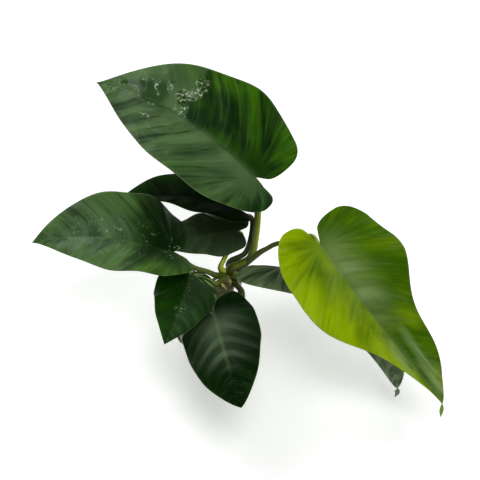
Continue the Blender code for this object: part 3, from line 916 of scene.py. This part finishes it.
for name, leaf in LEAVES.items():
    skin(f"stalk_{name}", [petiole(name, leaf)], [petiole_finish(name, *STALK_LOOKS[name])],
         f"petiole_{name}")

# %% [markdown]
# ## Stone, rhizome, roots and dry sheaths
#
# The stone is a block bounded by flats. Measured from a point inside, its surface is the soft minimum
# of the distances to all the flats, which chips every edge a little. Noise adds the grain.

# %% The stone's surface
STONE_HEIGHT = 22.0
STONE_HALF_WIDTH = 15.5
STONE_HALF_DEPTH = 12.5
STONE_CORE = 9.0
STONE_CHIPS = 14
STONE_EDGE = 9


def stone_reach(directions):
    """Distance from the core to the surface: the sum of (lean / distance) ** edge, to the power -1 / edge."""
    main = np.array(
        [(1, 0, 0), (-1, 0, 0), (0, 1, 0), (0, -1, 0), (0, 0, 1), (0, 0, -1), (-0.75, -0.66, 0)]
    )
    reach = np.array(
        [STONE_HALF_WIDTH, STONE_HALF_WIDTH, STONE_HALF_DEPTH, STONE_HALF_DEPTH,
         STONE_HEIGHT - STONE_CORE, STONE_CORE + 3, STONE_HALF_DEPTH]
    )
    turn = np.arange(STONE_CHIPS) * pi * (3 - 5**0.5)
    height = np.linspace(0.85, -0.55, STONE_CHIPS)
    flat = np.sqrt(1 - height**2)
    chips = np.stack([flat * np.cos(turn), flat * np.sin(turn), height], -1)
    size = np.array([STONE_HALF_WIDTH, STONE_HALF_DEPTH, STONE_HEIGHT - STONE_CORE])
    depth = np.random.default_rng(4).uniform(0.93, 1.12, STONE_CHIPS)
    normals = np.vstack([main, chips])
    distances = np.concatenate([reach, depth * np.linalg.norm(chips * size, axis=1)])
    lean = np.clip(directions @ normals.T / distances, 0, None)
    return (lean**STONE_EDGE).sum(-1) ** (-1 / STONE_EDGE)


def ripple(points, size, seed):
    """Smooth noise: four octaves of products of sines, each octave turned and half the size of the last."""
    draw = np.random.default_rng(seed)
    total = 0
    for octave in range(4):
        axes = np.linalg.qr(draw.normal(size=(3, 3)))[0]
        turned = points @ axes * (2 * pi * 2**octave / size) + draw.uniform(0, 2 * pi, 3)
        total = total + np.prod(np.sin(turned), -1) * 0.6**octave
    return total


def stone():
    """A fine ball pushed out to the stone's surface, roughened, and cut level at its base."""
    work = bmesh.new()
    bmesh.ops.create_icosphere(work, subdivisions=7, radius=1)
    directions = unit(np.array([vert.co[:] for vert in work.verts]))
    faces = np.array([[vert.index for vert in face.verts] for face in work.faces])
    work.free()
    reach = stone_reach(directions)
    surface = directions * reach[:, None]
    rough = 0.22 * ripple(surface, 9.0, 2) + 0.07 * ripple(surface, 2.2, 5)
    reach = reach + rough - 0.15
    level = STONE_CORE / np.maximum(-directions[:, 2], 1e-6)
    place = directions * np.minimum(reach, level)[:, None] + (0, 0, STONE_CORE)
    mesh = bpy.data.meshes.new("pebble")
    mesh.from_pydata(place * MM, [], faces)
    mesh.shade_smooth()
    made = bpy.data.objects.new("pebble", mesh)
    bpy.context.scene.collection.objects.link(made)
    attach(made, "root")
    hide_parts("stone")
    print("pebble:", len(faces), "faces")
    return made


def stone_finish():
    """Two greys, dark and pale grains, thin pale seams, and a green film that fades below the top."""
    start, fill = finish("pale stone", {"IOR": 1.5})
    place = object_place(start)
    broad = noise(place, 60, 5, 0.6, 0.6)
    grain = noise(place, 700, 4, 0.7)
    speck = part_of(start.node("TexVoronoi", {}, {"Vector": place, "Scale": 900}, "Color"), 0)
    colour = blend(smooth(broad, 0.3, 0.7), paint(150, 148, 140), paint(196, 193, 184))
    colour = blend(smooth(grain, 0.35, 0.7) * 0.5, colour, paint(122, 120, 112))
    colour = blend(smooth(speck, 0.80, 0.86) * 0.55, colour, paint(84, 82, 78))
    colour = blend(smooth(speck, 0.14, 0.08) * 0.6, colour, paint(222, 220, 212))
    seam = 1 - smooth(absolute(noise(place, 85, 3, 0.5, 2.4) - 0.5), 0.004, 0.018)
    colour = blend(seam * 0.55, colour, paint(226, 224, 216))
    bare = smooth(part_of(place, 2) + noise(place, 150, 3) * 0.006, 0.026, 0.016)
    colour = blend((1 - bare) * smooth(noise(place, 190, 4), 0.45, 0.65) * 0.45, colour, paint(98, 104, 62))
    return fill(colour, 0.78 + grain * 0.15, grain * 0.6 + broad * 0.5, 0.5 * MM)


stone().data.materials.append(stone_finish())

# %% [markdown]
# The rhizome keeps the scar of every leaf it has dropped as a ring. Its radius is a smooth taper
# times a small saw-tooth, so the rings overlap like the joints of bamboo.

# %% Rhizome
RHIZOME_RADIUS = 2.7
RHIZOME_ROUTE = ((-7.5, -18.5, -3.2), (-4.5, -11.5, -3), (-1, -4.5, -3), (0.6, 1.5, -3), (1.2, 5, -2.2))
SCARS = 9


def brown_finish(name, dark, light, scale, roughness):
    """Rough skin: two browns in patches and grains, with a dark ring at each scar."""
    start, fill = finish(name, {"IOR": 1.45})
    _, v = grid_numbers(start)
    place = object_place(start)
    patch = noise(place, scale, 5, 0.65, 0.8)
    grain = noise(place, scale * 6, 3)
    colour = blend(smooth(patch, 0.32, 0.68), dark, light)
    colour = blend(smooth(grain, 0.5, 0.75) * 0.5, colour, dark)
    colour = blend(smooth(cosine(v * (SCARS * 2 * pi)), 0.7, 1.0) * 0.5, colour, paint(60, 52, 32))
    return fill(colour, roughness + patch * 0.15, patch * 0.6 + grain * 0.5, 0.3 * MM)


path = smooth_path(RHIZOME_ROUTE, 160) + CROWN
share = np.linspace(0, 1, len(path))
saw = (share * SCARS) % 1
radius = RHIZOME_RADIUS * (1 - 0.22 * share**3) * (1 + 0.05 * (1 - saw) ** 2 - 0.02)
radius = radius * np.sqrt(np.clip(1 - (1 - np.clip(share / 0.05, 0, 1)) ** 2, 0, 1))
radius = radius * np.sqrt(np.clip(1 - (1 - np.clip((1 - share) / 0.07, 0, 1)) ** 2, 0, 1))
skin("creeping_stem", [tube(path, radius, 40)],
     [brown_finish("rhizome skin", paint(62, 66, 34), paint(104, 112, 62), 260, 0.5)], "rhizome")

# %% [markdown]
# Roots leave the rhizome's flanks and hug the stone: a direction from the stone's core is swept
# from the rhizome to the stone's foot, and the surface formula gives the distance on the way.

# %% Roots
ROOT_RADIUS = 0.5
GAP = 0.3
ROOTS = (  # share of the rhizome where it leaves, side, and heading over the stone in degrees
    (0.12, -1, 238), (0.22, 1, 292), (0.42, -1, 196), (0.5, 1, 330),
    (0.72, -1, 150), (0.8, 1, 355), (0.92, 1, 62),
)
SUNK = 0.62  # height of a root's middle over the stone, as a share of its radius


def root_tube(share, side, heading):
    """From inside the rhizome out to its flank, then down the stone, knotty and thinner to its end."""
    axis = smooth_path(RHIZOME_ROUTE, 101) + CROWN
    step = int(share * 100)
    ahead = unit(axis[min(step + 1, 100)] - axis[step - 1])
    outward = unit(np.cross(ahead, (0, 0, 1))) * side
    start = axis[step] + outward * (RHIZOME_RADIUS + ROOT_RADIUS + GAP)
    core = np.array([0, 0, STONE_CORE])
    entry = unit(start - core)
    slope = np.radians([28, 8, -14, -30])
    turn = radians(heading) + 0.16 * np.sin(np.arange(4) * 2.1 + share * 20)
    low = np.stack([np.cos(slope) * np.cos(turn), np.cos(slope) * np.sin(turn), np.sin(slope)], -1)
    directions = unit(smooth_path([entry, *low], 90)[1:])
    hug = core + directions * (stone_reach(directions) + SUNK * ROOT_RADIUS)[:, None]
    hug = hug[hug[:, 2] > ROOT_RADIUS]
    settle = np.clip(np.linspace(0, 6, len(hug)), 0, 1)[:, None]
    hug = hug + (1 - settle) * unit(directions[: len(hug)]) * 1.0
    inside = axis[step] + outward * 0.5 * RHIZOME_RADIUS
    path = smooth_path([inside, start + (0, 0, 0.25), *hug[6::6]], 120)
    along = np.linspace(0, 1, len(path))
    knots = 1 + 0.10 * np.sin(along * 37 + heading) + 0.06 * np.sin(along * 83 + 2 * heading)
    radius = ROOT_RADIUS * (1.15 - 0.45 * along) * knots * np.sqrt(np.clip((1 - along) / 0.03, 0, 1))
    return tube(path, radius, 16)


for count, (share, side, heading) in enumerate(ROOTS, 1):
    skin(f"grip_root_{count}", [root_tube(share, side, heading)],
         [brown_finish(f"root skin {count}", paint(120, 104, 66), paint(176, 162, 118), 420, 0.6)],
         f"root_{count}")

# %% [markdown]
# Two dry sheaths stay at the crown where young leaves came out. Each is a flattened tube that ends
# in a point, papery and tan.

# %% Dry sheaths
SCALE_ROUTES = (
    ((0.4, -2.9, 0.4), (1.0, -4.2, 1.2), (0.6, -5.8, 1.0)),
    ((-1.9, -4.9, 0.6), (-1.3, -6.1, 1.4), (-0.4, -7.5, 1.2)),
)


def sheath_finish(name):
    start, fill = finish(name, {"IOR": 1.4})
    place = object_place(start)
    patch = noise(place, 500, 4, 0.6)
    fine = noise(place, 2500, 3)
    colour = blend(smooth(patch, 0.3, 0.7), paint(150, 124, 62), paint(214, 198, 146))
    colour = blend(smooth(fine, 0.55, 0.7) * 0.4, colour, paint(96, 74, 34))
    return fill(colour, 0.62 + patch * 0.2, patch * 0.6 + fine * 0.4, 0.15 * MM)


for count, route in enumerate(SCALE_ROUTES, 1):
    path = smooth_path(route, 40) + CROWN
    share = np.linspace(0, 1, len(path))
    radius = 0.78 * (1 - share) ** 0.7 * np.sqrt(np.clip(share / 0.08, 0, 1)) + 0.02
    skin(f"dry_sheath_{count}", [tube(path, radius, 20, 0.55)], [sheath_finish(f"dry sheath {count}")],
         f"dry_scale_{count}")

# %% [markdown]
# ## Floor and light
#
# The floor is a plain pale sheet. A wide window behind and to the left lights the blades that lean that way
# and adds a little gloss over their painted sheen, and leaves the others deep green. A smaller key light
# high in front, a low fill from the left and a weak sky keep the near leaves from going black.


# %% Floor and lights
FLOOR_REACH = 3.0
FLOOR_DROP = 0.3 * MM


def floor():
    turns = ((-1, -1), (1, -1), (1, 1), (-1, 1))
    mesh = bpy.data.meshes.new("floor")
    mesh.from_pydata([(FLOOR_REACH * x, FLOOR_REACH * y, -FLOOR_DROP) for x, y in turns], [], [(0, 1, 2, 3)])
    glow = {"Specular IOR Level": 0.0, "Emission Color": (1, 1, 1, 1), "Emission Strength": 0.4}
    _, fill = finish("pale floor", glow)
    made = bpy.data.objects.new("floor", mesh)
    mesh.materials.append(fill((0.92, 0.92, 0.92, 1), 0.9))
    bpy.context.scene.collection.objects.link(made)


def lamp(name, turn, climb, distance, size, power):
    """An area light that faces the plant from a heading (0 is straight behind it) and a climb, in degrees."""
    light = bpy.data.lights.new(name, "AREA")
    light.shape, light.size, light.size_y, light.energy = "RECTANGLE", size[0], size[1], power
    made = bpy.data.objects.new(name, light)
    turn, climb = radians(turn), radians(climb)
    way = np.array([np.sin(turn) * np.cos(climb), np.cos(turn) * np.cos(climb), np.sin(climb)])
    made.location = target + way * distance
    made.rotation_euler = (pi / 2 - climb, 0, pi - turn)
    bpy.context.scene.collection.objects.link(made)


floor()
lamp("window", -30, 48, 1.5, (1.3, 1.0), 16)
lamp("key", 150, 70, 1.5, (0.7, 0.7), 10)
lamp("low fill", -140, 22, 1.3, (0.7, 0.5), 1.5)
world = bpy.data.worlds.new("room")
world.use_nodes = True
world.node_tree.nodes["Background"].inputs["Color"].default_value = (0.9, 0.95, 1.0, 1)
world.node_tree.nodes["Background"].inputs["Strength"].default_value = 0.10
bpy.context.scene.world = world
bpy.context.scene.view_settings.view_transform = "Standard"
